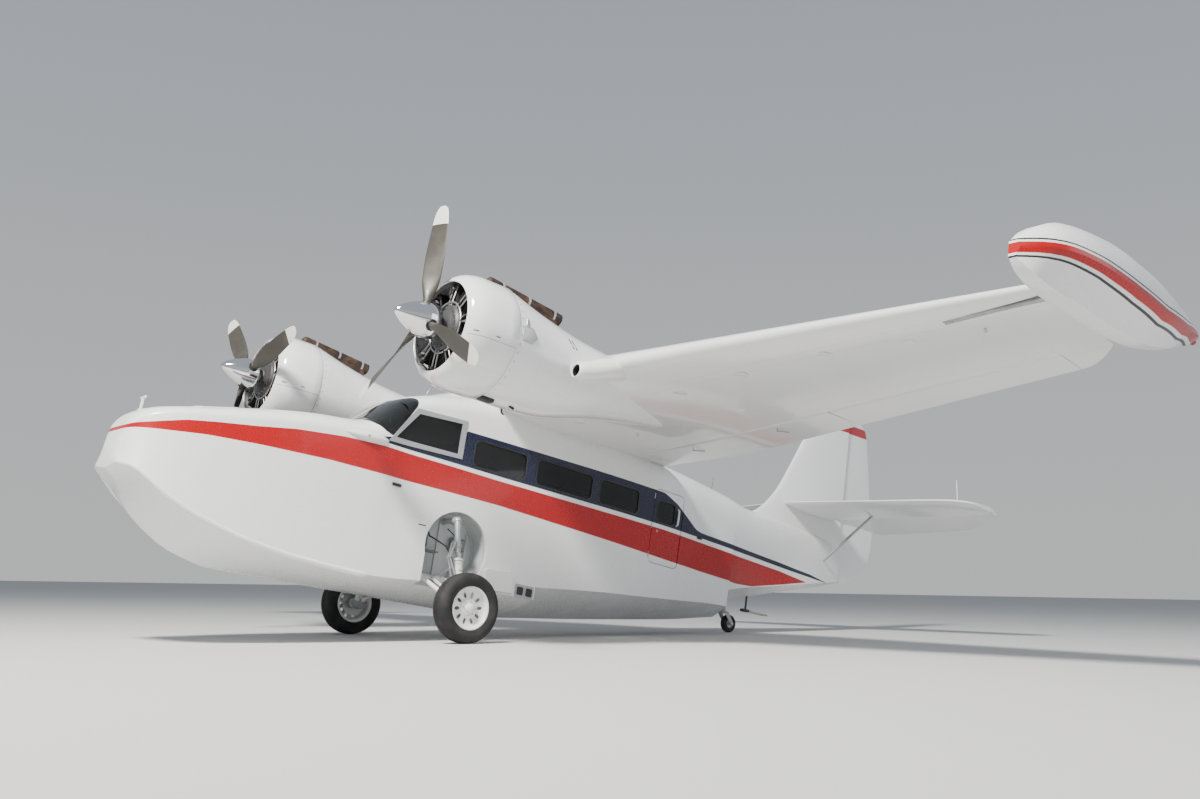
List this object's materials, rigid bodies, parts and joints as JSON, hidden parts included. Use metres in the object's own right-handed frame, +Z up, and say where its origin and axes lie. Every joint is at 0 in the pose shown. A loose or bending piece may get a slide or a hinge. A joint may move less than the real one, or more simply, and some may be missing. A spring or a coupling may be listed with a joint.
{
  "type": "flying boat",
  "caption": "Small twin-engined amphibious flying boat with a stepped hull, a high wing and swinging tip floats, standing on its wheels.",
  "frame": {"origin": "middle of the span and of the length, on the ground that its tyres stand on", "axes": "+X along the span to port, +Y aft, +Z up from the ground; the hull is tipped 9.5 degrees nose up"},
  "size_m": [15.28, 11.8886, 4.3326],
  "materials": {
    "paint": "gloss",
    "glass": "polished",
    "trim": "matte",
    "dark_trim": "satin",
    "seat_cloth": "matte",
    "engine_metal": "satin",
    "blade": "satin",
    "burnt_steel": "satin",
    "tyre": "matte"
  },
  "bodies": {
    "airframe": {"hull_bow": "paint", "hull_cabin": "paint", "cabin_top_port": "paint", "cabin_top_starboard": "paint", "wheel_box_port": "paint", "wheel_box_starboard": "paint", "hull_tail": "paint", "fin": "paint", "stabilizer_port": "paint", "stabilizer_starboard": "paint", "tail_strut_port": "paint", "tail_strut_starboard": "paint", "wing_center": "paint", "wing_port": "paint", "wing_starboard": "paint", "cowl_port": "paint", "cowl_starboard": "paint", "nacelle_port": "paint", "nacelle_starboard": "paint", "engine_port": "engine_metal", "engine_starboard": "engine_metal", "exhaust_duct_port": "burnt_steel", "exhaust_duct_starboard": "burnt_steel", "main_leg_port": "paint", "main_leg_starboard": "paint", "tail_leg": "paint", "tail_pylon": "paint", "windscreen": "glass", "cockpit_glass_port": "glass", "cockpit_glass_starboard": "glass", "cabin_glass_port": "glass", "cabin_glass_starboard": "glass", "rear_glass_starboard": "glass", "cabin_floor": "trim", "instrument_panel": "dark_trim", "control_yokes": "dark_trim", "crew_seat_port": "seat_cloth", "crew_seat_starboard": "seat_cloth", "cabin_seats_port": "seat_cloth", "cabin_seats_starboard": "seat_cloth"},
    "rudder": {"rudder": "paint"},
    "elevators": {"elevator_port": "paint", "elevator_starboard": "paint"},
    "cabin_door": {"cabin_door": "paint", "door_glass": "glass"},
    "bow_hatch": {"bow_hatch": "paint"},
    "tail_fork": {"tail_fork": "paint"},
    "tail_wheel": {"tail_wheel": "tyre"},
    "propeller_port": {"propeller_port": "blade"},
    "propeller_starboard": {"propeller_starboard": "blade"},
    "wheel_port": {"wheel_port": "paint", "tyre_port": "tyre"},
    "wheel_starboard": {"wheel_starboard": "paint", "tyre_starboard": "tyre"},
    "flap_port": {"flap_port": "paint"},
    "flap_starboard": {"flap_starboard": "paint"},
    "aileron_port": {"aileron_port": "paint"},
    "aileron_starboard": {"aileron_starboard": "paint"},
    "float_port": {"tip_float_port": "paint"},
    "float_starboard": {"tip_float_starboard": "paint"}
  },
  "joints": [
    {"name": "rudder_turn", "type": "hinge", "parent": "airframe", "child": "rudder", "pos_m": [0, 5.13127, 1.65394], "axis": [0, 0.165, 0.9863], "range_deg": [-25, 25]},
    {"name": "elevator_raise", "type": "hinge", "parent": "airframe", "child": "elevators", "pos_m": [0, 4.83539, 1.70345], "axis": [1, 0, 0], "range_deg": [0, 48]},
    {"name": "cabin_door_swing", "type": "hinge", "parent": "airframe", "child": "cabin_door", "pos_m": [0.712, 0.5381, 1.35594], "axis": [0, -0.165, -0.9863], "range_deg": [0, 100]},
    {"name": "bow_hatch_lift", "type": "hinge", "parent": "airframe", "child": "bow_hatch", "pos_m": [0, -4.70212, 2.35959], "axis": [-1, 0, 0], "range_deg": [0, 100]},
    {"name": "tail_castor", "type": "hinge", "parent": "airframe", "child": "tail_fork", "pos_m": [0, 2.54963, 0.3], "axis": [0, 0, 1], "continuous": true},
    {"name": "tail_wheel_spin", "type": "hinge", "parent": "tail_fork", "child": "tail_wheel", "pos_m": [0, 2.64963, 0.12346], "axis": [1, 0, 0], "continuous": true},
    {"name": "propeller_port_spin", "type": "hinge", "parent": "airframe", "child": "propeller_port", "pos_m": [2.045, -3.70125, 3.12997], "axis": [0, 0.9863, -0.165], "continuous": true},
    {"name": "propeller_starboard_spin", "type": "hinge", "parent": "airframe", "child": "propeller_starboard", "pos_m": [-2.045, -3.70125, 3.12997], "axis": [0, 0.9863, -0.165], "continuous": true},
    {"name": "wheel_port_spin", "type": "hinge", "parent": "airframe", "child": "wheel_port", "pos_m": [1.231, -2.56707, 0.36485], "axis": [1, 0, 0], "continuous": true},
    {"name": "wheel_starboard_spin", "type": "hinge", "parent": "airframe", "child": "wheel_starboard", "pos_m": [-1.231, -2.56707, 0.36485], "axis": [1, 0, 0], "continuous": true},
    {"name": "flap_port_lower", "type": "hinge", "parent": "airframe", "child": "flap_port", "pos_m": [0.85, 0.35675, 2.32623], "axis": [-0.9939, 0.0949, -0.0571], "range_deg": [0, 40]},
    {"name": "flap_starboard_lower", "type": "hinge", "parent": "airframe", "child": "flap_starboard", "pos_m": [-0.85, 0.35675, 2.32623], "axis": [-0.9939, -0.0949, 0.0571], "range_deg": [0, 40]},
    {"name": "aileron_port_raise", "type": "hinge", "parent": "airframe", "child": "aileron_port", "pos_m": [3.962, 0.06207, 2.50413], "axis": [0.9921, -0.1128, 0.0557], "range_deg": [-20, 20]},
    {"name": "aileron_starboard_raise", "type": "hinge", "parent": "airframe", "child": "aileron_starboard", "pos_m": [-3.962, 0.06207, 2.50413], "axis": [0.9921, 0.1128, -0.0557], "range_deg": [-20, 20]},
    {"name": "float_port_lower", "type": "hinge", "parent": "airframe", "child": "float_port", "pos_m": [6.25, -1.24038, 2.83983], "axis": [0, 0.9863, -0.165], "range_deg": [0, 90]},
    {"name": "float_starboard_lower", "type": "hinge", "parent": "airframe", "child": "float_starboard", "pos_m": [-6.25, -1.24038, 2.83983], "axis": [0, -0.9863, 0.165], "range_deg": [0, 90]}
  ],
  "couplings": [
    {"joint": "flap_starboard_lower", "follows": "flap_port_lower", "ratio": 1},
    {"joint": "aileron_starboard_raise", "follows": "aileron_port_raise", "ratio": -1},
    {"joint": "float_starboard_lower", "follows": "float_port_lower", "ratio": 1}
  ]
}
